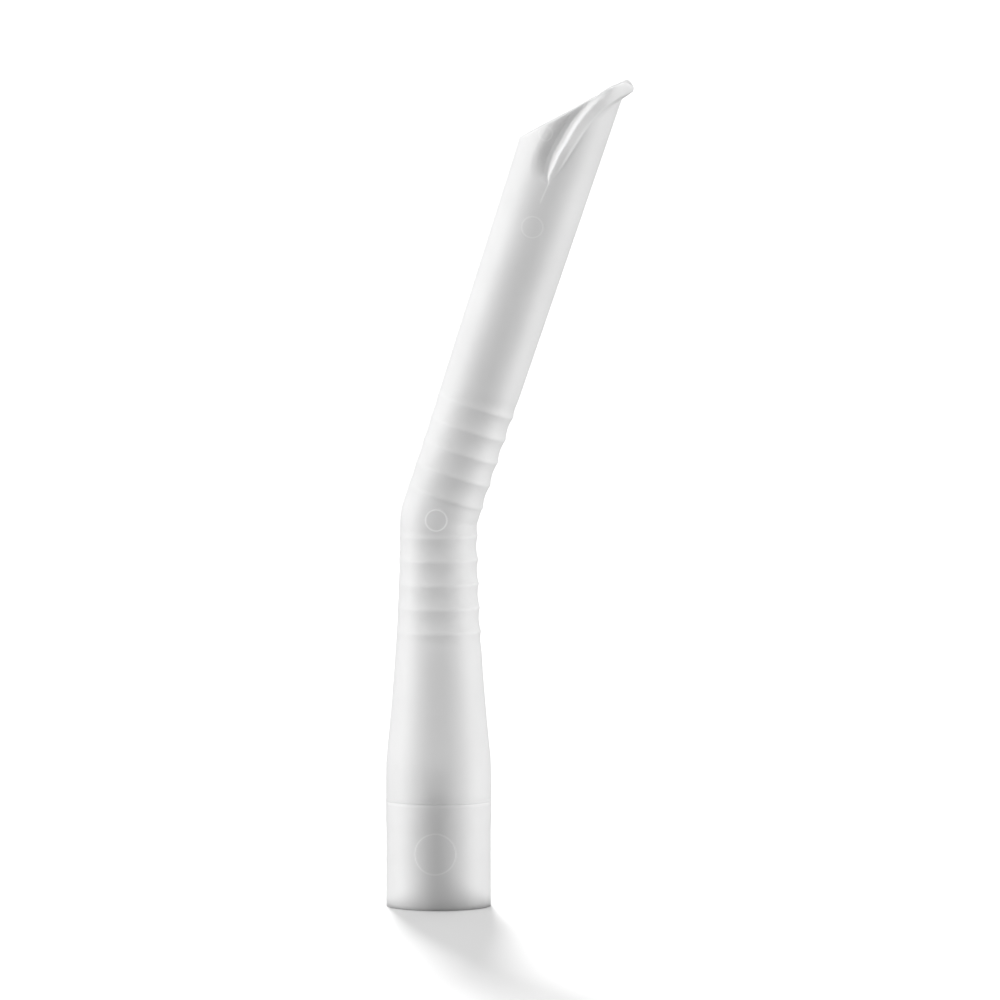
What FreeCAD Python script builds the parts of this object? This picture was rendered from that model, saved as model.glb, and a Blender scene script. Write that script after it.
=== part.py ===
import FreeCAD, Part
import math
import os
import re

import Sketcher

# Dental suction cannula, in millimetres. +Z is up. The origin is the middle of the sleeve's foot, on the
# surface that the cannula stands on. The cannula leans towards +X, and XZ is its plane of symmetry.
#
# Two frames are used. The coupling frame is the part's own frame, with heights along Z. The stem frame
# starts at the bend: "along" is measured up the leaning stem's axis from where the two axes cross, and
# "across" is measured square to that axis, towards +X.

DIMENSIONS = {
    # coupling sleeve
    "coupling_radius": (8.0, "outside of the 16 mm suction coupling"),
    "sleeve_height": (16.15, "top of the sleeve, where the cannula turns on it"),
    "socket_radius": (7.0, "bore of the sleeve that holds the spigot"),
    "socket_lead": (0.35, "lead-in round the mouth of the socket"),
    "snap_height": (7.6, "middle of the snap bead and of its groove"),
    "groove_radius": (7.3, "bottom of the sleeve's snap groove"),
    "groove_half_width": (1.25, "half the groove's width at the socket wall"),
    "groove_floor_half_width": (0.75, "half the groove's width at its bottom"),
    # spigot and collar of the cannula
    "spigot_foot": (4.4, "lower end of the spigot"),
    "spigot_radius": (6.95, "outside of the spigot, a running fit in the socket"),
    "spigot_lead": (0.5, "lead-in at the spigot's lower end"),
    "bead_radius": (7.22, "crest of the snap bead"),
    "bead_half_width": (1.0, "half the bead's width at the spigot"),
    "bead_crest_half_width": (0.45, "half the bead's width at its crest"),
    "turning_gap": (0.05, "play between the collar and the sleeve"),
    "collar_top": (22.9, "top of the full-width collar"),
    # tapered neck
    "flare_foot_radius": (7.8, "radius where the flare starts above the collar"),
    "flare_foot_height": (24.0, "height where the flare starts"),
    "flare_middle_radius": (6.42, "radius half way up the flare"),
    "flare_middle_height": (41.0, "height half way up the flare"),
    "neck_radius": (5.85, "outside of the tube at the bend"),
    # bend
    "bend_height": (59.3, "height where the two axes cross"),
    "bend_angle": (18.25, "lean of the stem from the vertical, in degrees"),
    "bend_radius": (6.25, "radius of the bent centre line"),
    # stem
    "taper_start": (12.0, "where the stem starts to widen, along it"),
    "tip_radius": (6.55, "outside of the stem level with its tip"),
    "stem_length": (73.0, "length of the stem from the bend, before the mouth is cut"),
    # bore
    "spigot_bore_radius": (5.9, "bore of the spigot and collar"),
    "funnel_foot": (27.0, "height where the bore starts to narrow"),
    "funnel_top": (50.0, "height where the bore reaches its narrowest"),
    "throat_radius": (4.65, "bore at the bend"),
    "tip_bore_radius": (5.25, "bore level with the tip"),
    # finger ribs, hollows pressed round the tube above and below the bend
    "rib_pitch": (3.65, "distance between crests"),
    "rib_depth": (0.2, "depth of the hollow between two crests"),
    "lower_rib_distance": (2.7, "first crest below the bend"),
    "lower_rib_radius": (6.34, "radius of the lowest crest"),
    "upper_rib_distance": (3.5, "first crest above the bend, along the stem"),
    "crest_sink": (0.02, "how far the crests lie under the plain tube"),
    # mouth
    "bevel_angle": (46.4, "slope of the mouth against a square cut, in degrees"),
    "kink_across": (2.75, "where the lip rises out of the bevel, across"),
    "kink_along": (68.5, "where the lip rises out of the bevel, along"),
    "slit_across": (0.25, "point where the lip's two arms end, across"),
    "slit_along": (54.0, "point where the lip's two arms end, along"),
    "front_edge_across": (-0.72, "middle of the arm's front edge, across"),
    "front_edge_along": (61.6, "middle of the arm's front edge, along"),
    "back_edge_across": (2.82, "middle of the arm's back edge, across"),
    "back_edge_along": (61.9, "middle of the arm's back edge, along"),
    "root_across": (6.62, "where the lip meets the back wall, across"),
    "root_along": (69.3, "where the lip meets the back wall, along"),
    "cut_reach": (10.0, "how far the mouth's cut reaches past the tube"),
    "cut_overshoot": (0.5, "how far the bore and rib cuts run past the plastic they remove"),
    # lip
    "lip_step_across": (3.3, "end of the lip's short rise above the bevel, across"),
    "lip_step_along": (69.4, "end of the lip's short rise above the bevel, along"),
    "lip_crown_across": (6.05, "start of the lip's rounded edge, across"),
    "lip_crown_along": (72.05, "start of the lip's rounded edge, along"),
    "lip_edge_across": (7.78, "outermost point of the lip, across"),
    "lip_edge_along": (71.2, "outermost point of the lip, along"),
    "lip_under_across": (7.1, "end of the lip's rounded edge, across"),
    "lip_under_along": (69.8, "end of the lip's rounded edge, along"),
    "arm_foot_radius": (6.42, "outside of the arms at their points"),
    # side channels, one hollow beside each arm
    "channel_across": (-0.95, "middle of the side channel, across"),
    "channel_along": (59.5, "middle of the side channel, along"),
    "channel_offset": (6.85, "distance of the channel's middle from the plane of symmetry"),
    "channel_half_length": (6.5, "half the channel's length"),
    "channel_half_width": (2.0, "half the channel's width"),
    "channel_half_height": (1.0, "half the channel's height, which sets its depth"),
    "channel_turn": (12.0, "turn of the channel from the stem's axis, in degrees"),
}
RIB_GAPS = 4

# How far the bend runs into each straight tube, measured along its axis.
BEND_RUN = "bend_radius * tan(bend_angle * 0.5 deg)"

# Where the lip's arms meet the tube, which both bodies share.
SLIT = ("slit_across", "slit_along")
KINK = ("kink_across", "kink_along")
ROOT = ("root_across", "root_along")
FRONT_EDGE = ("front_edge_across", "front_edge_along")
BACK_EDGE = ("back_edge_across", "back_edge_along")

# The bore of the stem, which both bodies share.
STEM_BORE = (
    ("0", BEND_RUN),
    ("throat_radius", BEND_RUN),
    ("tip_bore_radius", "stem_length + cut_overshoot"),
    ("0", "stem_length + cut_overshoot"),
)

doc = FreeCAD.newDocument("SuctionCannula")
sheet = doc.addObject("Spreadsheet::Sheet", "Dimensions")


def fill_sheet():
    """Writes each driving dimension into the sheet, with its name and what it is."""
    for row, (alias, (size, meaning)) in enumerate(DIMENSIONS.items(), start=1):
        sheet.set(f"A{row}", alias)
        sheet.set(f"B{row}", str(size))
        sheet.set(f"C{row}", meaning)
        sheet.setAlias(f"B{row}", alias)
    doc.recompute()


def bound(formula):
    """A formula in plain dimension names becomes an expression on the sheet."""
    return re.sub(r"[a-z_]{3,}", lambda m: "Dimensions." + m[0] if m[0] in DIMENSIONS else m[0], formula)


def value(formula):
    """The formula's present value."""
    result = sheet.evalExpression(bound(formula))
    return float(getattr(result, "Value", result))


def origin_plane(body, role):
    """One of the body's own origin planes, such as XZ_Plane."""
    return next(feature for feature in body.Origin.OriginFeatures if feature.Role == role)


def add_body(label):
    """An empty body that carries the node's name."""
    body = doc.addObject("PartDesign::Body", label)
    body.Label = label
    return body


def empty_sketch(body, name, in_stem_frame):
    """A sketch in the plane of symmetry, in the coupling frame or in the stem frame."""
    sketch = body.newObject("Sketcher::SketchObject", name)
    sketch.AttachmentSupport = (origin_plane(body, "XZ_Plane"), [""])
    sketch.MapMode = "FlatFace"
    if in_stem_frame:
        sketch.setExpression(".AttachmentOffset.Base.y", bound("bend_height"))
        sketch.setExpression(".AttachmentOffset.Rotation.Angle", bound("-bend_angle * 1 deg"))
    return sketch


def hold_point(sketch, geometry, end, corner):
    """Ties one point of the sketch to the formulas of a corner. A formula of 0 puts it on that axis."""
    across, along = corner
    for direction, formula, axis in (("DistanceX", across, -2), ("DistanceY", along, -1)):
        if formula == "0":
            sketch.addConstraint(Sketcher.Constraint("PointOnObject", geometry, end, axis))
        else:
            distance = Sketcher.Constraint(direction, -1, 1, geometry, end, value(formula))
            number = sketch.addConstraint(distance)
            sketch.setExpression(f"Constraints[{number}]", bound(formula))


def at(corner):
    """A corner's place in its sketch."""
    across, along = corner
    return FreeCAD.Vector(value(across), value(along), 0)


def outline(body, name, corners, in_stem_frame=False):
    """A closed outline. A corner is (across, along), or (across, along, middle) where an arc leaves it
    through that middle point for the next corner."""
    sketch = empty_sketch(body, name, in_stem_frame)
    middles = []
    for number, corner in enumerate(corners):
        start = at(corner[:2])
        end = at(corners[(number + 1) % len(corners)][:2])
        if len(corner) == 3:
            curve = Part.Arc(start, at(corner[2]), end).toShape().Curve
            forward = curve.Axis.z > 0
            angles = [
                math.atan2(point.y - curve.Center.y, point.x - curve.Center.x)
                for point in ((start, end) if forward else (end, start))
            ]
            circle = Part.Circle(curve.Center, FreeCAD.Vector(0, 0, 1), curve.Radius)
            sketch.addGeometry(Part.ArcOfCircle(circle, *angles), False)
            middles.append((number, corner[2], forward))
        else:
            sketch.addGeometry(Part.LineSegment(start, end), False)
    forward_arcs = {number: forward for number, _, forward in middles}
    for number, corner in enumerate(corners):
        following = (number + 1) % len(corners)
        end_here = 2 if forward_arcs.get(number, True) else 1
        start_next = 1 if forward_arcs.get(following, True) else 2
        sketch.addConstraint(Sketcher.Constraint("Coincident", number, end_here, following, start_next))
    for number, corner in enumerate(corners):
        hold_point(sketch, number, 1 if forward_arcs.get(number, True) else 2, corner[:2])
    for number, middle, _ in middles:
        marker = sketch.addGeometry(Part.Point(at(middle)), True)
        hold_point(sketch, marker, 1, middle)
        sketch.addConstraint(Sketcher.Constraint("PointOnObject", marker, 1, number))
    return sketch


def turn(body, kind, name, sketch):
    """A full turn of the sketch about its own vertical axis, added to the body or cut out of it."""
    feature = body.newObject(f"PartDesign::{kind}", name)
    feature.Profile = sketch
    feature.ReferenceAxis = (sketch, ["V_Axis"])
    feature.Angle = 360
    doc.recompute()
    return feature


def cut_through(body, name, sketch):
    """Cuts the sketch's outline out of the whole width of the body."""
    feature = body.newObject("PartDesign::Pocket", name)
    feature.Profile = sketch
    feature.Type = "Length"
    feature.Midplane = True
    feature.setExpression("Length", bound("cut_reach * 2"))
    doc.recompute()
    return feature


def bend_sector(body, kind, name, radius):
    """The part of the tube that turns through the bend: a disc swung about the inner side of the bend."""
    sketch = body.newObject("Sketcher::SketchObject", name + "_disc")
    sketch.AttachmentSupport = (origin_plane(body, "XY_Plane"), [""])
    sketch.MapMode = "FlatFace"
    sketch.setExpression(".AttachmentOffset.Base.z", bound("bend_height - " + BEND_RUN))
    disc = sketch.addGeometry(
        Part.Circle(FreeCAD.Vector(0, 0, 0), FreeCAD.Vector(0, 0, 1), value(radius)), False
    )
    sketch.addConstraint(Sketcher.Constraint("Coincident", disc, 3, -1, 1))
    number = sketch.addConstraint(Sketcher.Constraint("Radius", disc, value(radius)))
    sketch.setExpression(f"Constraints[{number}]", bound(radius))
    reach = value("bend_radius")
    hinge = sketch.addGeometry(
        Part.LineSegment(FreeCAD.Vector(reach, -reach, 0), FreeCAD.Vector(reach, reach, 0)), True
    )
    sketch.addConstraint(Sketcher.Constraint("Symmetric", hinge, 1, hinge, 2, -1))
    number = sketch.addConstraint(Sketcher.Constraint("DistanceX", -1, 1, hinge, 1, reach))
    sketch.setExpression(f"Constraints[{number}]", bound("bend_radius"))
    number = sketch.addConstraint(Sketcher.Constraint("DistanceY", hinge, 1, hinge, 2, 2 * reach))
    sketch.setExpression(f"Constraints[{number}]", bound("bend_radius * 2"))
    feature = body.newObject(f"PartDesign::{kind}", name)
    feature.Profile = sketch
    feature.ReferenceAxis = (sketch, ["Axis0"])
    feature.setExpression("Angle", bound("bend_angle"))
    doc.recompute()
    return feature


def rib_hollows(body, name, crest, in_stem_frame):
    """Hollows between neighbouring crests. crest gives a crest's (radius, height) from its number."""
    corners = []
    for gap in range(RIB_GAPS):
        radius, height = crest(str(gap))
        middle_radius, middle_height = crest(f"{gap}.5")
        corners.append((radius, height, (f"{middle_radius} - rib_depth", middle_height)))
    corners.append(crest(str(RIB_GAPS)))
    last_radius, last_height = crest(str(RIB_GAPS))
    first_radius, first_height = crest("0")
    corners.append((f"{last_radius} + cut_overshoot", last_height))
    corners.append((f"{first_radius} + cut_overshoot", first_height))
    sketch = outline(body, name + "_outline", corners, in_stem_frame)
    return turn(body, "Groove", name, sketch)


def make_sleeve():
    """The coupling sleeve: a plain ring with a socket and a snap groove, which the hose grips."""
    body = add_body("coupling_sleeve")
    corners = [
        ("socket_radius", "socket_lead"),
        ("socket_radius + socket_lead", "0"),
        ("coupling_radius", "0"),
        ("coupling_radius", "sleeve_height"),
        ("socket_radius", "sleeve_height"),
        ("socket_radius", "snap_height + groove_half_width"),
        ("groove_radius", "snap_height + groove_floor_half_width"),
        ("groove_radius", "snap_height - groove_floor_half_width"),
        ("socket_radius", "snap_height - groove_half_width"),
    ]
    turn(body, "Revolution", "sleeve_ring", outline(body, "sleeve_outline", corners))
    return body


def make_tube():
    """The bent cannula: spigot, collar, flared neck, ribbed bend and stem, with a bevelled mouth."""
    body = add_body("cannula_tube")
    lower = [
        ("0", "spigot_foot"),
        ("spigot_radius - spigot_lead", "spigot_foot"),
        ("spigot_radius", "spigot_foot + spigot_lead"),
        ("spigot_radius", "snap_height - bead_half_width"),
        ("bead_radius", "snap_height - bead_crest_half_width"),
        ("bead_radius", "snap_height + bead_crest_half_width"),
        ("spigot_radius", "snap_height + bead_half_width"),
        ("spigot_radius", "sleeve_height + turning_gap"),
        ("coupling_radius", "sleeve_height + turning_gap"),
        ("coupling_radius", "collar_top"),
        ("flare_foot_radius", "flare_foot_height", ("flare_middle_radius", "flare_middle_height")),
        ("neck_radius", "bend_height - " + BEND_RUN),
        ("0", "bend_height - " + BEND_RUN),
    ]
    turn(body, "Revolution", "neck", outline(body, "neck_outline", lower))
    bend_sector(body, "Revolution", "bend", "neck_radius")
    upper = [
        ("0", BEND_RUN),
        ("neck_radius", BEND_RUN),
        ("neck_radius", "taper_start"),
        ("tip_radius", "stem_length"),
        ("0", "stem_length"),
    ]
    turn(body, "Revolution", "stem", outline(body, "stem_outline", upper, in_stem_frame=True))

    lower_bore = [
        ("0", "spigot_foot - cut_overshoot"),
        ("spigot_bore_radius", "spigot_foot - cut_overshoot"),
        ("spigot_bore_radius", "funnel_foot"),
        ("throat_radius", "funnel_top"),
        ("throat_radius", "bend_height - " + BEND_RUN),
        ("0", "bend_height - " + BEND_RUN),
    ]
    turn(body, "Groove", "neck_bore", outline(body, "neck_bore_outline", lower_bore))
    bend_sector(body, "Groove", "bend_bore", "throat_radius")
    turn(body, "Groove", "stem_bore", outline(body, "stem_bore_outline", STEM_BORE, in_stem_frame=True))

    rib_hollows(body, "lower_ribs", lower_crest, in_stem_frame=False)
    rib_hollows(body, "upper_ribs", upper_crest, in_stem_frame=True)

    mouth = [
        ("-cut_reach", "kink_along - (cut_reach + kink_across) * tan(bevel_angle * 1 deg)"),
        (*KINK, FRONT_EDGE),
        (*SLIT, BACK_EDGE),
        ROOT,
        ("cut_reach", "root_along + (cut_reach - root_across) * tan(bevel_angle * 1 deg)"),
        ("cut_reach", "stem_length + cut_reach"),
        ("-cut_reach", "stem_length + cut_reach"),
    ]
    mouth_outline = outline(body, "mouth_outline", mouth, in_stem_frame=True)
    cut_through(body, "mouth", mouth_outline)
    for side, name in ((1, "near_channel"), (-1, "far_channel")):
        side_channel(body, name, mouth_outline, side)
    return body


def lower_crest(number):
    """Radius and height of a crest below the bend, counted downwards. The neck widens down there."""
    widening = f"(lower_rib_radius - neck_radius) * {number} / {RIB_GAPS}"
    return f"neck_radius - crest_sink + {widening}", f"bend_height - lower_rib_distance - rib_pitch * {number}"


def upper_crest(number):
    """Radius and place along the stem of a crest above the bend, counted upwards."""
    return "neck_radius - crest_sink", f"upper_rib_distance + rib_pitch * {number}"


def side_channel(body, name, stem_sketch, side):
    """The hollow beside one arm of the lip, which lets air past when the mouth is covered."""
    hollow = body.newObject("PartDesign::SubtractiveEllipsoid", name)
    hollow.AttachmentSupport = (stem_sketch, [""])
    hollow.MapMode = "ObjectXY"
    hollow.setExpression(".AttachmentOffset.Base.x", bound("channel_across"))
    hollow.setExpression(".AttachmentOffset.Base.y", bound("channel_along"))
    hollow.setExpression(".AttachmentOffset.Base.z", bound(f"channel_offset * {side}"))
    hollow.setExpression(".AttachmentOffset.Rotation.Angle", bound("-channel_turn * 1 deg"))
    hollow.setExpression("Radius1", bound("channel_half_height"))
    hollow.setExpression("Radius2", bound("channel_half_width"))
    hollow.setExpression("Radius3", bound("channel_half_length"))
    doc.recompute()


def make_lip():
    """The lip guard: a rounded hoop behind the mouth whose two arms taper down the tube's sides."""
    body = add_body("lip_guard")
    side_view = [
        (*SLIT, FRONT_EDGE),
        KINK,
        ("lip_step_across", "lip_step_along"),
        ("lip_crown_across", "lip_crown_along", ("lip_edge_across", "lip_edge_along")),
        ("lip_under_across", "lip_under_along"),
        (*ROOT, BACK_EDGE),
    ]
    blank = body.newObject("PartDesign::Pad", "lip_blank")
    blank.Profile = outline(body, "lip_outline", side_view, in_stem_frame=True)
    blank.Midplane = True
    blank.setExpression("Length", bound("cut_reach * 2"))
    doc.recompute()
    outside = [
        ("arm_foot_radius", "slit_along - cut_overshoot"),
        ("lip_edge_across", "lip_edge_along"),
        ("lip_edge_across", "stem_length + cut_overshoot"),
        ("cut_reach * 2", "stem_length + cut_overshoot"),
        ("cut_reach * 2", "slit_along - cut_overshoot"),
    ]
    turn(body, "Groove", "lip_envelope", outline(body, "envelope_outline", outside, in_stem_frame=True))
    turn(body, "Groove", "lip_bore", outline(body, "lip_bore_outline", STEM_BORE, in_stem_frame=True))
    return body


def check_document():
    """Stops if any object failed to rebuild."""
    doc.recompute()
    for item in doc.Objects:
        if "Invalid" in item.State or "Error" in item.State:
            raise RuntimeError(f"{item.Label} did not rebuild: {item.State}")


def export(bodies):
    """Writes one STEP file for each sub-part."""
    for body in bodies:
        shape = body.Shape
        if shape.isNull() or not shape.isValid() or len(shape.Solids) != 1:
            raise RuntimeError(f"{body.Label} is not one valid solid")
    os.makedirs("parts", exist_ok=True)
    for body in bodies:
        solid = body.Shape.Solids[0]
        solid.exportStep(f"parts/{body.Label}.step")
        box = solid.optimalBoundingBox()
        centre = solid.CenterOfMass
        print(
            f"{body.Label}: {solid.Volume:.1f} mm3, centre of mass {centre.x:.2f} {centre.z:.2f}, "
            f"x {box.XMin:.2f} to {box.XMax:.2f}, z {box.ZMin:.2f} to {box.ZMax:.2f}"
        )


fill_sheet()
parts = [make_sleeve(), make_tube(), make_lip()]
check_document()
export(parts)
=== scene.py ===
import math

import bpy
import numpy as np
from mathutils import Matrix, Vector


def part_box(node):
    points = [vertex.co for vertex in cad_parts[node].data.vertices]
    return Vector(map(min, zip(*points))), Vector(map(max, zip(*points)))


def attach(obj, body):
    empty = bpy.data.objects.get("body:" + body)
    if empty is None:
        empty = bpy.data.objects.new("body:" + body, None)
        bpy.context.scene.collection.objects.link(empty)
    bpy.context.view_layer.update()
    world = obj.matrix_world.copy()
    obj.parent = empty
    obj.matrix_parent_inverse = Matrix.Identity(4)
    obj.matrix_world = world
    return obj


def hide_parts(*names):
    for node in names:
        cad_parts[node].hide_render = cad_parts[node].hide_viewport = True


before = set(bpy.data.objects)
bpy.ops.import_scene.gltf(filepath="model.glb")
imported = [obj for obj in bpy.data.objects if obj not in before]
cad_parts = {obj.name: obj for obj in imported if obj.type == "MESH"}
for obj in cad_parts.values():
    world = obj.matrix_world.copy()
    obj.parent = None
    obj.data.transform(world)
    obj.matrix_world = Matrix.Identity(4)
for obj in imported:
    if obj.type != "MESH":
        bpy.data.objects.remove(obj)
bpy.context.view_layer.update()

# Looks for the suction cannula. Shapes are worked out in millimetres, in the CAD model's frame, and put
# into Blender in metres. "Along" runs up the leaning stem's axis from the bend, "across" is square to it
# towards +X, and "lift" is how far a point stands off the plain tube.
MM = 0.001

sleeve_low, sleeve_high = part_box("coupling_sleeve")
SLEEVE_RADIUS = sleeve_high[0] / MM
SLEEVE_TOP = sleeve_high[2] / MM
SOCKET_RADIUS = 7.0
SLEEVE_LEAD = 0.35
SLEEVE_NARROWING = 0.06

# The snap: a bead on the spigot runs in a groove of the sleeve, and both have slanted sides. The reaches go
# up and down from their middle height: to the ends of the bead's crest and foot, and to the ends of the
# groove's floor and mouth.
SNAP_HEIGHT = 7.6
BEAD_RADIUS = 7.2
BEAD_CREST_REACH = 0.4
BEAD_FOOT_REACH = 1.0
GROOVE_RADIUS = 7.3
GROOVE_FLOOR_REACH = 0.75
GROOVE_MOUTH_REACH = 1.25

SPIGOT_FOOT = 4.4
SPIGOT_RADIUS = 6.95
COLLAR_FOOT = SLEEVE_TOP + 0.005
SPIGOT_CHAMFER = 0.5
FLARE = ((7.8, 24.0), (6.42, 41.0), (5.85, 58.29))
FLARE_SOFTNESS = 0.12
NECK_RADIUS = 5.85
BEND_HEIGHT = 59.3
LEAN = math.radians(18.25)
BEND_RADIUS = 6.25
BEND_RUN = BEND_RADIUS * math.tan(LEAN / 2)
NECK_TOP = BEND_HEIGHT - BEND_RUN
TAPER_START = 12.0
TIP_RADIUS = 6.55
STEM_LENGTH = 73.0
SPIGOT_BORE = 5.9
FUNNEL_FOOT = 27.0
FUNNEL_TOP = 50.0
THROAT_RADIUS = 4.65
TIP_BORE = 5.25

# How far apart the rings up the tube are. They are closest where the marks are: at the bend, from a height
# on the neck to a place along the stem, and below the mouth, from another place along the stem.
FLARE_SPACING = 0.6
NECK_SPACING = 0.3
STEM_SPACING = 1.0
STEM_MARK_SPACING = 0.1
BEND_MARK_SPACING = 0.09
BEND_MARK_FOOT = 57.4
BEND_MARK_TOP = 1.8
STEM_MARK_FOOT = 45.0

# Ribs: five crests with four hollows between them on each side of the bend. The first crest lies this far
# from the bend's centre, down the neck or up the stem. Crests stand proud of the plain tube by a share of the
# depth, the hollows are pressed in by the rest, and on the outer side of the bend both fade by another share.
RIB_PITCH = 3.65
RIB_DEPTH = 0.26
RIB_PROUD = 0.4
RIB_FADE = 0.7
RIB_GAPS = 4
LOWER_RIB = 2.7
UPPER_RIB = 3.5
RINGS_PER_RIB = 11
RIB_STEP = RIB_PITCH / RINGS_PER_RIB
RIBBED_RINGS = 60
RINGS_BEFORE_CREST = 4

# The mouth's edge as (across, along): the bevel ends at the kink, and the lip's top line takes over at the
# lip's top, rises to the peak and falls off a little past the nose. The edge is rounded less in front than at
# the back.
BEVEL = math.tan(math.radians(46.4))
KINK = (2.75, 68.5)
LIP_TOP = (3.37, 69.5)
LIP_TOP_SLOPE = 0.94
LIP_PEAK = 72.35
NOSE = 6.4
NOSE_FALL = 0.12
MOUTH_FOOT = 48.9
MOUTH_RINGS = 100
FRONT_ROUND = 0.22
BACK_ROUND = 1.17
INNER_ROUND = 0.2

# Angles of the columns round the tube, from +X towards +Y. They lie closer together on the -Y and +Y sides,
# where the moulded marks and the lip's arms are.
COLUMNS = 228
CROWDING = 0.25
EVEN = np.arange(COLUMNS) * 2 * math.pi / COLUMNS
ANGLES = EVEN - CROWDING * np.sin(2 * EVEN) - math.pi / 2

# The same columns as turns from the nearer of -Y and +Y towards +X: the lip is the same on both sides.
TURNS = np.arctan2(np.cos(ANGLES), np.abs(np.sin(ANGLES)))

# Moulded marks, drawn as fine raised lines, and also painted paler: a painted highlight for the light the
# raised lines catch. A mark runs from 0, plain plastic, to 1, the middle of a full line. Rings on the stem
# are (across, along, radius, strength). The seam runs down from the lip's slit.
LINE_WIDTH = 0.09
LINE_HEIGHT = 0.035
BEND_MARK_RADIUS = 1.6
STEM_MARKS = ((-0.1, 46.9, 1.6, 0.5), (-2.6, 61.0, 1.05, 0.5))
SLEEVE_MARK = (-0.05, 8.6, 3.1, 0.65)
SLIT = (0.25, 54.0)
SEAM_FOOT = (-0.1, SLIT[1] - 3.3)
SEAM_TOP = (SLIT[0], SLIT[1] + 0.4)
SEAM_STRENGTH = 0.8
MARKED_MOUTH_RINGS = 95

# The edges on both sides of the swivel carry a weaker mark, without relief: a painted highlight, paler colour
# with less scatter inside, that stands in for the light line seen along the joint.
EDGE_HIGHLIGHT = 0.6


def smooth(x, low, high):
    """0 below low, 1 above high, and a soft step between them."""
    t = np.clip((x - low) / (high - low), 0, 1)
    return t * t * (3 - 2 * t)


def circle_through(points):
    """Centre and radius of the circle through three points."""
    (ax, ay), (bx, by), (cx, cy) = points
    d = 2 * (ax * (by - cy) + bx * (cy - ay) + cx * (ay - by))
    a, b, c = ax * ax + ay * ay, bx * bx + by * by, cx * cx + cy * cy
    x = (a * (by - cy) + b * (cy - ay) + c * (ay - by)) / d
    y = (a * (cx - bx) + b * (ax - cx) + c * (bx - ax)) / d
    return x, y, math.hypot(ax - x, ay - y)


def smooth_curve(points, steps):
    """A curve through the points, with steps samples to each span (Catmull-Rom)."""
    p = np.asarray(points, float)
    p = np.concatenate([2 * p[:1] - p[1:2], p, 2 * p[-1:] - p[-2:-1]])
    t = (np.arange(steps) / steps).reshape((steps,) + (1,) * (p.ndim - 1))
    spans = [
        0.5 * (2 * b + (c - a) * t + (2 * a - 5 * b + 4 * c - d) * t**2 + (3 * b - a - 3 * c + d) * t**3)
        for a, b, c, d in zip(p[:-3], p[1:-2], p[2:-1], p[3:])
    ]
    return np.concatenate(spans + [p[-2:-1]])


def rounded(points, radius, steps=4):
    """The outline with each inner corner replaced by a small round."""
    p = [np.array(q, float) for q in points]
    out = [p[0]]
    for before, corner, after in zip(p, p[1:], p[2:]):
        reach = min(radius, 0.45 * np.linalg.norm(before - corner), 0.45 * np.linalg.norm(after - corner))
        start = corner + (before - corner) / np.linalg.norm(before - corner) * reach
        end = corner + (after - corner) / np.linalg.norm(after - corner) * reach
        for t in np.linspace(0, 1, steps + 1):
            out.append((1 - t) ** 2 * start + 2 * t * (1 - t) * corner + t * t * end)
    return out + [p[-1]]


# ---------------------------------------------------------------- the lip

# Stations of the lip from the slit at the tube's -Y side to the middle of the back. Each is where the
# ridge's middle lies (turn in degrees from -Y towards +X, and along), then its section at seven places: the
# valley, flank, front edge, crest, back edge, hollow and root. First come their seven distances beside the
# middle, positive away from the mouth, and then the lifts of the first six. The root lies on the plain tube.
LIP = (
    (2.3, 53.9, (-0.10, -0.08, -0.05, 0.0, 0.05, 0.08, 0.10), (-0.05, -0.03, 0.0, 0.0, 0.0, 0.0)),
    (3.0, 55.2, (-0.75, -0.56, -0.40, 0.0, 0.35, 0.50, 0.70), (-0.60, -0.18, 0.08, 0.08, 0.04, -0.02)),
    (4.2, 57.0, (-1.20, -0.66, -0.34, 0.10, 0.70, 0.95, 1.20), (-0.98, -0.60, 0.28, 0.21, 0.10, -0.03)),
    (6.5, 58.8, (-1.30, -0.74, -0.38, 0.10, 0.88, 1.15, 1.50), (-1.00, -0.66, 0.48, 0.34, 0.14, -0.06)),
    (9.5, 60.6, (-1.20, -0.64, -0.30, 0.12, 0.95, 1.25, 1.70), (-0.92, -0.60, 0.62, 0.47, 0.19, -0.05)),
    (14.0, 62.6, (-1.28, -0.78, -0.44, 0.05, 0.90, 1.25, 1.85), (-0.82, -0.45, 0.70, 0.57, 0.29, -0.02)),
    (20.5, 64.6, (-1.32, -0.94, -0.66, -0.10, 0.75, 1.18, 1.90), (-0.70, -0.32, 0.76, 0.67, 0.42, 0.06)),
    (28.5, 66.5, (-1.34, -1.08, -0.86, -0.30, 0.60, 1.12, 1.92), (-0.50, -0.10, 0.84, 0.82, 0.66, 0.18)),
    (38.5, 68.3, (-1.30, -1.15, -0.98, -0.40, 0.50, 1.12, 1.90), (0.10, 0.50, 0.90, 1.02, 1.00, 0.38)),
    (50.5, 69.7, (-1.50, -1.25, -1.04, -0.55, 0.40, 1.15, 1.88), (0.95, 1.00, 1.04, 1.10, 1.12, 0.46)),
    (64.0, 70.5, (-1.50, -1.30, -1.08, -0.68, 0.25, 1.12, 1.80), (1.08, 1.10, 1.12, 1.16, 1.19, 0.50)),
    (77.0, 70.95, (-1.50, -1.30, -1.08, -0.74, 0.15, 1.08, 1.76), (1.12, 1.14, 1.16, 1.20, 1.23, 0.54)),
    (90.0, 71.05, (-1.50, -1.30, -1.08, -0.74, 0.12, 1.08, 1.75), (1.12, 1.14, 1.16, 1.20, 1.24, 0.56)),
)
LIP_STEPS = 14
CHANNEL_WIDTH = 3.0
ROOT_RUN_OUT = 0.3
LIP_ROUND = 0.16
RUN_OUT_BELOW_SLIT = 0.8


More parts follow.
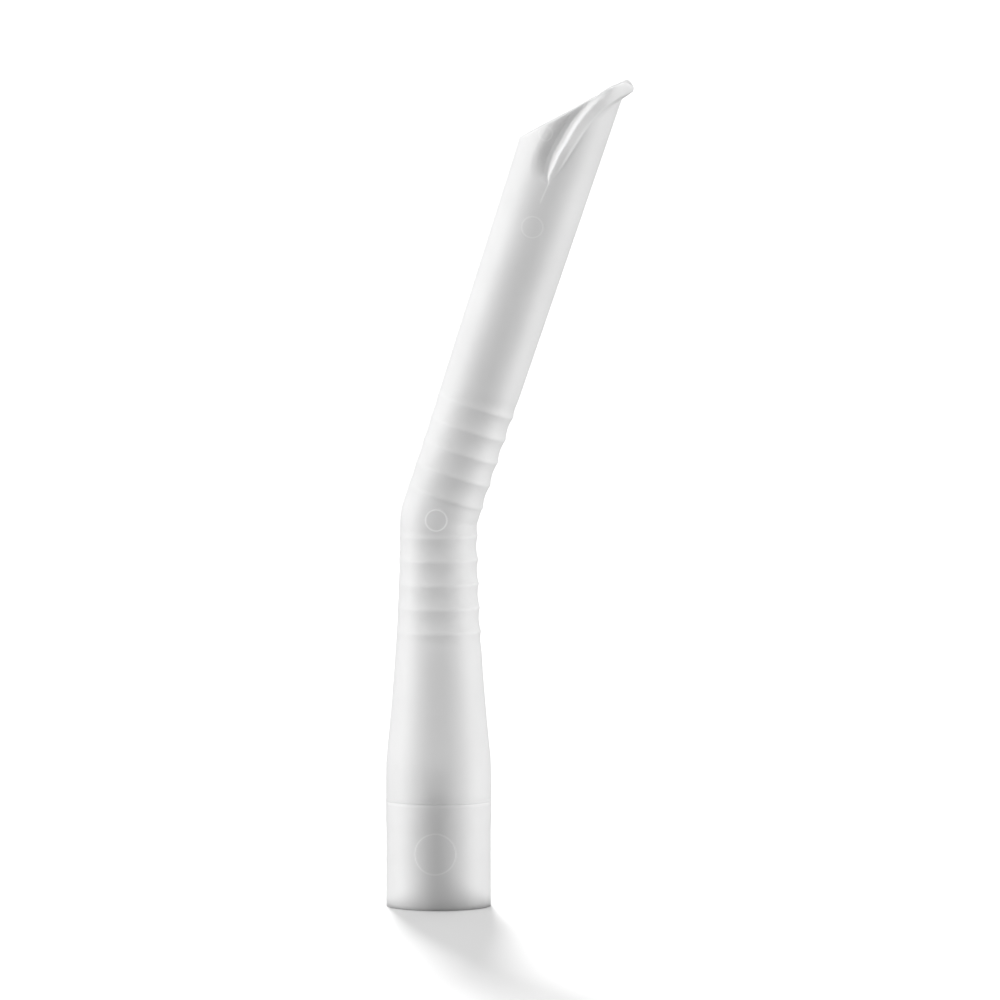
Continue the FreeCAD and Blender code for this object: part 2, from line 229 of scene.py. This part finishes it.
def lip_tables():
    """The lip's middle line on the unrolled tube, its direction, and its section at close steps."""
    turns = np.radians([station[0] for station in LIP])
    heights = [station[1] for station in LIP]
    path = smooth_curve(np.stack([turns * TIP_RADIUS, heights], -1), LIP_STEPS)
    run = np.gradient(path, axis=0)
    run /= np.linalg.norm(run, axis=1, keepdims=True)
    stations = [np.stack([beside, lift + (0.0,)], -1) for _, _, beside, lift in LIP]
    sections = []
    for section in smooth_curve(stations, LIP_STEPS):
        valley, depth = section[0]
        shares = (1, 0.75, 0.5, 0.25)
        channel = [(valley - CHANNEL_WIDTH * share, depth * (1 - smooth(share, 0, 1))) for share in shares]
        run_out = (section[-1][0] + ROOT_RUN_OUT, 0.0)
        sections.append(np.array(rounded(channel + list(section) + [run_out], LIP_ROUND)).T)
    return path, run, sections


LIP_PATH, LIP_RUN, LIP_SECTIONS = lip_tables()

# ---------------------------------------------------------------- the tube's own surface


def neck_radius(z):
    """Outside of the neck at a height, with the soft corner where the flare leaves the collar."""
    x, y, r = circle_through(FLARE)
    flare = x - np.sqrt(r * r - (z - y) ** 2)
    gap = flare - SLEEVE_RADIUS
    return SLEEVE_RADIUS + 0.5 * (gap - np.sqrt(gap * gap + FLARE_SOFTNESS * FLARE_SOFTNESS))


def stem_radius(along):
    """Outside of the plain stem."""
    return NECK_RADIUS + (TIP_RADIUS - NECK_RADIUS) * np.clip(
        (along - TAPER_START) / (STEM_LENGTH - TAPER_START), 0, None
    )


def stem_bore(along):
    """Bore of the stem."""
    return THROAT_RADIUS + (TIP_BORE - THROAT_RADIUS) * (along - BEND_RUN) / (STEM_LENGTH - BEND_RUN)


def rib_relief(distance, first):
    """Relief of the ribs at each column: round hollows between five sharp crests, counted from the bend.

    It dies out before the first crest and past the last, and is shallow on the outer side of the bend.
    """
    x = (distance - first) / RIB_PITCH
    part = x - np.floor(x)
    hollow = 4 * part * (1 - part)
    window = smooth(x, -0.45, 0.1) * (1 - smooth(x, RIB_GAPS, RIB_GAPS + 0.9))
    depth = RIB_DEPTH * (1 - RIB_FADE * smooth(-np.cos(ANGLES), 0.15, 0.95))
    return depth * (RIB_PROUD - hollow) * window


def neck_ring(radius, z):
    """One ring round the vertical axis."""
    r = np.broadcast_to(radius, ANGLES.shape)
    return np.stack([r * np.cos(ANGLES), r * np.sin(ANGLES), np.full(COLUMNS, float(z))], -1)


def bend_ring(radius, turned):
    """One ring in the bend, after the axis has turned by this angle."""
    centre_x = BEND_RADIUS * (1 - math.cos(turned))
    centre_z = NECK_TOP + BEND_RADIUS * math.sin(turned)
    x = centre_x + radius * np.cos(ANGLES) * math.cos(turned)
    z = centre_z - radius * np.cos(ANGLES) * math.sin(turned)
    return np.stack([x, radius * np.sin(ANGLES), z], -1)


def stem_point(across, side, along):
    """A place in the stem's frame, turned into the part's frame."""
    x = along * math.sin(LEAN) + across * math.cos(LEAN)
    z = BEND_HEIGHT + along * math.cos(LEAN) - across * math.sin(LEAN)
    return np.stack(np.broadcast_arrays(x, side, z), -1)


def stem_ring(radius, along):
    """One ring round the stem. Radius and along may change round the ring."""
    return stem_point(radius * np.cos(ANGLES), radius * np.sin(ANGLES), along)


def rim_along(across):
    """Height of the mouth's edge: a bevel in front of the kink, and the lip's top line behind it."""
    bevel = KINK[1] + (across - KINK[0]) * BEVEL
    lip_top = np.minimum(LIP_TOP[1] + (across - LIP_TOP[0]) * LIP_TOP_SLOPE, LIP_PEAK)
    lip_top = lip_top - NOSE_FALL * np.maximum(across - NOSE, 0) ** 2
    return bevel + (lip_top - bevel) * smooth(across, KINK[0], LIP_TOP[0])


def lip_lift(along):
    """How far the lip and the channel beside it stand off the plain stem, at each column."""
    spots = np.stack([TURNS * TIP_RADIUS, np.broadcast_to(along, TURNS.shape)], -1)
    offsets = spots[:, None] - LIP_PATH[None]
    nearest = np.argmin((offsets**2).sum(-1), axis=1)
    offset = offsets[np.arange(COLUMNS), nearest]
    run = LIP_RUN[nearest]
    beside = offset[:, 0] * run[:, 1] - offset[:, 1] * run[:, 0]
    beyond = -(offset * run).sum(-1)
    lift = np.array([np.interp(b, *LIP_SECTIONS[k]) for b, k in zip(beside, nearest)])
    return lift * (1 - smooth(beyond, 0.0, RUN_OUT_BELOW_SLIT) * (nearest == 0))


def stem_outside(along):
    """Outside of the stem with its ribs and its lip, for one height at each column."""
    return stem_radius(along) + rib_relief(along, UPPER_RIB) + lip_lift(along)


# ---------------------------------------------------------------- meshes


def make_piece(name, verts, faces, marks_and_highlights, material, body, nodes):
    """A mesh in metres that rides on a body and stands for CAD nodes. The line values are kept for the
    material's painted highlight.
    """
    mesh = bpy.data.meshes.new(name)
    mesh.from_pydata([tuple(v) for v in verts * MM], [], faces)
    mesh.attributes.new("painted_highlight_mask", "FLOAT", "POINT").data.foreach_set("value", marks_and_highlights.astype(np.float32))
    mesh.polygons.foreach_set("use_smooth", [True] * len(mesh.polygons))
    mesh.set_sharp_from_angle(angle=math.radians(50))
    mesh.materials.append(material)
    piece = bpy.data.objects.new(name, mesh)
    bpy.context.scene.collection.objects.link(piece)
    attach(piece, body)
    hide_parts(*nodes)
    return piece


def wrap_faces(rows):
    """Quads of a skin that closes round its columns and round its rows."""
    return [
        (
            i * COLUMNS + j,
            i * COLUMNS + (j + 1) % COLUMNS,
            (i + 1) % rows * COLUMNS + (j + 1) % COLUMNS,
            (i + 1) % rows * COLUMNS + j,
        )
        for i in range(rows)
        for j in range(COLUMNS)
    ]


def line_profile(distance):
    """Height of a moulded line, from 0 to 1, at a distance from its middle."""
    return np.exp(-((distance / LINE_WIDTH) ** 2))


def ring_mark(points, x, z, radius):
    """A round moulded line on the -Y side, seen square from that side."""
    distance = np.hypot(points[:, 0] - x, points[:, 2] - z) - radius
    return line_profile(distance) * (points[:, 1] < 0)


def straight_mark(points, start, end):
    """A straight moulded line on both sides, between two (x, z) places, that fades out at its ends."""
    run = np.subtract(end, start)
    length = np.linalg.norm(run)
    run /= length
    offset = points[:, (0, 2)] - start
    along = offset @ run
    beside = offset[:, 0] * run[1] - offset[:, 1] * run[0]
    return line_profile(beside) * smooth(along, -0.2, 0.6) * (1 - smooth(along, length - 0.3, length + 0.1))


def raise_marks(points, marks_and_highlights):
    """Lifts the marked points off the surface."""
    points[:, 1] += np.sign(points[:, 1]) * LINE_HEIGHT * marks_and_highlights


def paint_swivel_edge_highlight(points, marks_and_highlights, height, reach):
    """Paints a highlight on the outer edge at the swivel, within reach of its height, without relief."""
    near = abs(points[:, 2] - height) < reach
    outer = np.hypot(points[:, 0], points[:, 1]) > SLEEVE_RADIUS - 0.1
    marks_and_highlights[near & outer] = EDGE_HIGHLIGHT


def outside_rows():
    """Rings up the outside of the cannula to below the mouth. One ring lies on each rib's crest."""
    foot = [
        (SPIGOT_BORE, SPIGOT_FOOT),
        (SPIGOT_RADIUS - SPIGOT_CHAMFER, SPIGOT_FOOT),
        (SPIGOT_RADIUS, SPIGOT_FOOT + SPIGOT_CHAMFER),
        (SPIGOT_RADIUS, SNAP_HEIGHT - BEAD_FOOT_REACH),
        (BEAD_RADIUS, SNAP_HEIGHT - BEAD_CREST_REACH),
        (BEAD_RADIUS, SNAP_HEIGHT + BEAD_CREST_REACH),
        (SPIGOT_RADIUS, SNAP_HEIGHT + BEAD_FOOT_REACH),
        (SPIGOT_RADIUS, COLLAR_FOOT),
        (SLEEVE_RADIUS, COLLAR_FOOT),
        (SLEEVE_RADIUS, COLLAR_FOOT + 0.5),
    ]
    rows = [neck_ring(r, z) for r, z in rounded(foot, 0.03, steps=2)]
    ribbed = BEND_HEIGHT - LOWER_RIB - RIB_STEP * np.arange(RIBBED_RINGS)[::-1]
    flared = np.arange(COLLAR_FOOT + 1.0, ribbed[0], FLARE_SPACING)
    rows += [neck_ring(neck_radius(z), z) for z in flared]
    above_ribs = np.arange(ribbed[-1] + NECK_SPACING, BEND_MARK_FOOT, NECK_SPACING)
    below_bend = np.arange(BEND_MARK_FOOT, NECK_TOP, BEND_MARK_SPACING)
    for z in np.concatenate([ribbed, above_ribs, below_bend]):
        rows.append(neck_ring(neck_radius(z) + rib_relief(BEND_HEIGHT - z, LOWER_RIB), z))
    rows += [bend_ring(NECK_RADIUS, turned) for turned in np.linspace(0, LEAN, 24)]
    above_bend = np.arange(BEND_RUN + BEND_MARK_SPACING, BEND_MARK_TOP, BEND_MARK_SPACING)
    ribbed = UPPER_RIB + RIB_STEP * (np.arange(RIBBED_RINGS) - RINGS_BEFORE_CREST)
    plain = np.arange(22.0, STEM_MARK_FOOT, STEM_SPACING)
    below_mouth = np.arange(STEM_MARK_FOOT, MOUTH_FOOT - STEM_MARK_SPACING, STEM_MARK_SPACING)
    for along in np.concatenate([above_bend, ribbed, plain, below_mouth]):
        rows.append(stem_ring(stem_outside(along), along))
    return rows


def mouth_rows():
    """Rings that lean over, closer and closer, until they lie along the mouth's edge and go into the bore."""
    plain = stem_radius(rim_along(TIP_RADIUS * np.cos(ANGLES)))
    to_back = smooth(TURNS, math.radians(45), math.radians(80))
    rounding = FRONT_ROUND + (BACK_ROUND - FRONT_ROUND) * to_back
    lift = lip_lift(rim_along(plain * np.cos(ANGLES)) - rounding)
    edge = rim_along((plain + np.maximum(lift, 0)) * np.cos(ANGLES))
    rows = []
    for share in np.linspace(0, 1, MOUTH_RINGS):
        risen = share * (1.35 - 0.35 * share)
        along = MOUTH_FOOT + risen * (edge - rounding - MOUTH_FOOT)
        rows.append(stem_ring(stem_outside(along), along))
    outer = stem_outside(edge - rounding)
    inner = stem_bore(edge)
    inner_edge = rim_along(inner * np.cos(ANGLES))
    face = rounding / np.hypot(outer - inner, edge - inner_edge)
    bends = (
        (
            (outer, edge - rounding),
            (outer, edge),
            (outer + face * (inner - outer), edge + face * (inner_edge - edge)),
        ),
        (
            (inner + INNER_ROUND * (outer - inner), inner_edge + INNER_ROUND * (edge - inner_edge)),
            (inner, inner_edge),
            (inner, inner_edge - INNER_ROUND),
        ),
    )
    for start, corner, end in bends:
        for t in np.linspace(0, 1, 8)[1:]:
            radius, along = (
                (1 - t) ** 2 * a + 2 * t * (1 - t) * b + t * t * c for a, b, c in zip(start, corner, end)
            )
            rows.append(stem_ring(radius, along))
    for share in np.linspace(0.05, 1, 14):
        along = (1 - share) * (inner_edge - INNER_ROUND) + share * BEND_RUN
        rows.append(stem_ring(stem_bore(along), along))
    return rows


def make_tube(material):
    """The bent cannula and its lip in one skin, with fine moulded lines, raised and painted paler as a
    highlight.
    """
    outside = outside_rows()
    rows = outside + mouth_rows()
    marked = COLUMNS * (len(outside) + MARKED_MOUTH_RINGS)
    rows += [bend_ring(THROAT_RADIUS, turned) for turned in np.linspace(LEAN, 0, 7)[1:]]
    bore = [
        (THROAT_RADIUS, NECK_TOP - 1),
        (THROAT_RADIUS, FUNNEL_TOP),
        (SPIGOT_BORE, FUNNEL_FOOT),
        (SPIGOT_BORE, SPIGOT_FOOT + 0.4),
    ]
    rows += [neck_ring(r, z) for r, z in rounded(bore, 3.0, steps=6)]
    verts = np.concatenate(rows)
    marks_and_highlights = np.zeros(len(verts))
    skin = verts[:marked]
    lines = [ring_mark(skin, 0.0, BEND_HEIGHT, BEND_MARK_RADIUS)]
    for across, along, radius, strength in STEM_MARKS:
        x, _, z = stem_point(across, 0.0, along)
        lines.append(strength * ring_mark(skin, x, z, radius))
    seam_ends = [stem_point(across, 0.0, along)[::2] for across, along in (SEAM_FOOT, SEAM_TOP)]
    lines.append(SEAM_STRENGTH * straight_mark(skin, *seam_ends))
    marks_and_highlights[:marked] = np.max(lines, axis=0)
    raise_marks(verts, marks_and_highlights)
    paint_swivel_edge_highlight(verts, marks_and_highlights, COLLAR_FOOT, 0.1)
    nodes = ["cannula_tube", "lip_guard"]
    return make_piece("cannula_skin", verts, wrap_faces(len(rows)), marks_and_highlights, material, "cannula", nodes)


def make_sleeve(material):
    """The coupling sleeve, with socket, snap groove and one round moulded line, raised and painted paler as a
    highlight. Its lower part is a hair narrower.
    """
    low = SLEEVE_RADIUS - SLEEVE_NARROWING
    inside = [
        (SLEEVE_RADIUS, SLEEVE_TOP - 0.6),
        (SLEEVE_RADIUS, SLEEVE_TOP),
        (SOCKET_RADIUS, SLEEVE_TOP),
        (SOCKET_RADIUS, SNAP_HEIGHT + GROOVE_MOUTH_REACH),
        (GROOVE_RADIUS, SNAP_HEIGHT + GROOVE_FLOOR_REACH),
        (GROOVE_RADIUS, SNAP_HEIGHT - GROOVE_FLOOR_REACH),
        (SOCKET_RADIUS, SNAP_HEIGHT - GROOVE_MOUTH_REACH),
        (SOCKET_RADIUS, SLEEVE_LEAD),
        (SOCKET_RADIUS + SLEEVE_LEAD, 0.0),
        (low, 0.0),
        (low, 0.6),
    ]
    heights = np.arange(0.7, SLEEVE_TOP - 0.7, 0.1)
    outside = [(low + SLEEVE_NARROWING * smooth(z, 11.6, 13.4), z) for z in heights]
    outline = outside + rounded(inside, 0.05, steps=2)
    verts = np.concatenate([neck_ring(r, z) for r, z in outline])
    marks_and_highlights = np.zeros(len(verts))
    marked = COLUMNS * len(outside)
    x, z, radius, strength = SLEEVE_MARK
    marks_and_highlights[:marked] = strength * ring_mark(verts[:marked], x, z, radius)
    raise_marks(verts, marks_and_highlights)
    paint_swivel_edge_highlight(verts, marks_and_highlights, SLEEVE_TOP, 0.2)
    nodes = ["coupling_sleeve"]
    return make_piece("sleeve_shell", verts, wrap_faces(len(outline)), marks_and_highlights, material, "coupling", nodes)


# ---------------------------------------------------------------- material


def plastic(name, seed):
    """Natural white polypropylene: milky, a little waxy, with fine mould grain and slow tone changes.

    Marked places are painted paler, a painted highlight for the fine lines and the swivel edges, and scatter
    less light inside.
    """
    material = bpy.data.materials.new(name)
    material.use_nodes = True
    nodes, links = material.node_tree.nodes, material.node_tree.links
    shader = nodes["Principled BSDF"]
    place = nodes.new("ShaderNodeTexCoord")

    tone = nodes.new("ShaderNodeTexNoise")
    tone.noise_dimensions = "4D"
    tone.inputs["W"].default_value = seed
    tone.inputs["Scale"].default_value = 90.0
    tone.inputs["Detail"].default_value = 3.0
    links.new(place.outputs["Object"], tone.inputs["Vector"])
    colour = nodes.new("ShaderNodeValToRGB")
    colour.color_ramp.elements[0].position = 0.3
    colour.color_ramp.elements[0].color = (0.78, 0.78, 0.78, 1)
    colour.color_ramp.elements[1].position = 0.7
    colour.color_ramp.elements[1].color = (0.82, 0.82, 0.82, 1)
    links.new(tone.outputs["Fac"], colour.inputs["Fac"])
    painted_highlight_mask = nodes.new("ShaderNodeAttribute")
    painted_highlight_mask.attribute_name = "painted_highlight_mask"
    # Painted highlight: the moulded lines and the swivel edges take a paler colour (0.97), standing in for
    # the light they catch.
    painted_highlight = nodes.new("ShaderNodeMix")
    painted_highlight.data_type = "RGBA"
    factor, plain, marked = (painted_highlight.inputs[k] for k in (0, 6, 7))
    marked.default_value = (0.97, 0.97, 0.97, 1)
    links.new(painted_highlight_mask.outputs["Fac"], factor)
    links.new(colour.outputs["Color"], plain)
    links.new(painted_highlight.outputs[2], shader.inputs["Base Color"])
    milk = nodes.new("ShaderNodeMath")
    milk.operation = "SUBTRACT"
    milk.inputs[0].default_value = 1.0
    links.new(painted_highlight_mask.outputs["Fac"], milk.inputs[1])
    links.new(milk.outputs["Value"], shader.inputs["Subsurface Weight"])

    grain = nodes.new("ShaderNodeTexNoise")
    grain.inputs["Scale"].default_value = 3200.0
    grain.inputs["Detail"].default_value = 4.0
    links.new(place.outputs["Object"], grain.inputs["Vector"])
    roughness = nodes.new("ShaderNodeMapRange")
    roughness.inputs["To Min"].default_value = 0.36
    roughness.inputs["To Max"].default_value = 0.46
    links.new(grain.outputs["Fac"], roughness.inputs["Value"])
    links.new(roughness.outputs["Result"], shader.inputs["Roughness"])
    bump = nodes.new("ShaderNodeBump")
    bump.inputs["Strength"].default_value = 0.12
    bump.inputs["Distance"].default_value = 0.00002
    links.new(grain.outputs["Fac"], bump.inputs["Height"])
    links.new(bump.outputs["Normal"], shader.inputs["Normal"])

    shader.inputs["Subsurface Radius"].default_value = (1.0, 1.0, 1.0)
    shader.inputs["Subsurface Scale"].default_value = 0.0008
    shader.inputs["IOR"].default_value = 1.49
    shader.inputs["Specular IOR Level"].default_value = 0.2
    return material


# ---------------------------------------------------------------- the stage


def make_card(name, albedo, size, place=(0.0, 0.0, 0.0)):
    """A flat matt card of the stage, with a size as half its width and depth."""
    width, depth = size
    corners = [(-width, -depth, 0), (width, -depth, 0), (width, depth, 0), (-width, depth, 0)]
    mesh = bpy.data.meshes.new(name)
    mesh.from_pydata(corners, [], [(0, 1, 2, 3)])
    material = bpy.data.materials.new(name)
    material.use_nodes = True
    shader = material.node_tree.nodes["Principled BSDF"]
    shader.inputs["Base Color"].default_value = (albedo, albedo, albedo, 1)
    shader.inputs["Roughness"].default_value = 1.0
    shader.inputs["Specular IOR Level"].default_value = 0.0
    mesh.materials.append(material)
    card = bpy.data.objects.new(name, mesh)
    card.location = place
    bpy.context.scene.collection.objects.link(card)
    return card


def lay_floors():
    """A white floor that is only looked at, and two dark ones just under it that the part is lit by.

    The large dark floor gives a weak bounce. The small one, under the foot, casts the dark of the contact.
    """
    wide = (30.0, 30.0)
    under_foot = (0.0103, 0.0103)
    white = make_card("floor_white", 0.79, wide)
    white.visible_diffuse = False
    white.visible_glossy = False
    white.visible_transmission = False
    white.visible_shadow = False
    grey = make_card("floor_grey", 0.06, wide, (0.0, 0.0, -0.0001))
    grey.visible_camera = False
    grey.visible_shadow = False
    foot = make_card("floor_under_foot", 0.06, under_foot, (0.0, 0.0, -0.00005))
    foot.visible_camera = False


def stand_flag():
    """A narrow black card in front of the foot, unseen, that keeps light off the foot's middle."""
    flag = make_card("flag_at_the_foot", 0.0, (0.0019, 0.0095), (0.0002, -0.0112, 0.0122))
    flag.rotation_euler = (math.pi / 2, 0.0, 0.0)
    flag.visible_camera = False


def add_sun(name, towards, strength, spread_degrees):
    """A soft sun. "Towards" points from the part to the light."""
    light = bpy.data.lights.new(name, "SUN")
    light.energy = strength
    light.angle = math.radians(spread_degrees)
    lamp = bpy.data.objects.new(name, light)
    lamp.rotation_mode = "QUATERNION"
    lamp.rotation_quaternion = Vector(towards).to_track_quat("Z", "Y")
    bpy.context.scene.collection.objects.link(lamp)
    return lamp


def light_the_stage():
    """Broad side lights from just under the horizon, a soft one from above, and a key from behind.

    The key is higher and sharper, falls on the white floor alone and so draws the shadow.
    """
    add_sun("left", (-1.0, -0.24, -0.1), 2.72, 50.0)
    add_sun("right", (1.0, -0.14, -0.28), 2.6, 50.0)
    key = add_sun("key", (-0.3, 2.1, 1.2), 4.2, 9.0)
    floor_only = bpy.data.collections.new("floor_only")
    floor_only.objects.link(bpy.data.objects["floor_white"])
    key.light_linking.receiver_collection = floor_only
    add_sun("overhead", (0.0, -0.26, 1.0), 1.5, 70.0)


def surround():
    """A white studio all round, dim as a light and bright where it is looked at."""
    world = bpy.data.worlds.new("studio")
    world.use_nodes = True
    bpy.context.scene.world = world
    nodes, links = world.node_tree.nodes, world.node_tree.links
    dim = nodes["Background"]
    dim.inputs["Color"].default_value = (1, 1, 1, 1)
    dim.inputs["Strength"].default_value = 0.33
    seen = nodes.new("ShaderNodeBackground")
    seen.inputs["Color"].default_value = (1, 1, 1, 1)
    seen.inputs["Strength"].default_value = 1.1
    path = nodes.new("ShaderNodeLightPath")
    mix = nodes.new("ShaderNodeMixShader")
    links.new(path.outputs["Is Camera Ray"], mix.inputs["Fac"])
    links.new(dim.outputs["Background"], mix.inputs[1])
    links.new(seen.outputs["Background"], mix.inputs[2])
    links.new(mix.outputs["Shader"], nodes["World Output"].inputs["Surface"])


def add_camera():
    """A long lens, a little above the mouth's height, that looks slightly down at the whole part."""
    azimuth = math.radians(3.4)
    distance = 1.8
    height = 0.195
    middle = 0.00935
    aim_height = 0.0620
    frame_width = 0.1521
    right = Vector((math.cos(azimuth), math.sin(azimuth), 0))
    back = Vector((math.sin(azimuth), -math.cos(azimuth), 0))
    aim = right * middle + Vector((0, 0, aim_height))
    camera = bpy.data.cameras.new("camera")
    camera.sensor_width = 36.0
    camera.clip_start = 0.1
    camera.clip_end = 100.0
    eye = bpy.data.objects.new("camera", camera)
    eye.location = right * middle + back * distance + Vector((0, 0, height))
    sight = Vector(eye.location) - aim
    camera.lens = camera.sensor_width * sight.length / frame_width
    eye.rotation_mode = "QUATERNION"
    eye.rotation_quaternion = sight.to_track_quat("Z", "Y")
    bpy.context.scene.collection.objects.link(eye)
    bpy.context.scene.camera = eye


make_sleeve(plastic("sleeve_plastic", 1.0))
make_tube(plastic("tube_plastic", 2.0))
lay_floors()
stand_flag()
light_the_stage()
surround()
add_camera()
bpy.context.scene.view_settings.view_transform = "Standard"
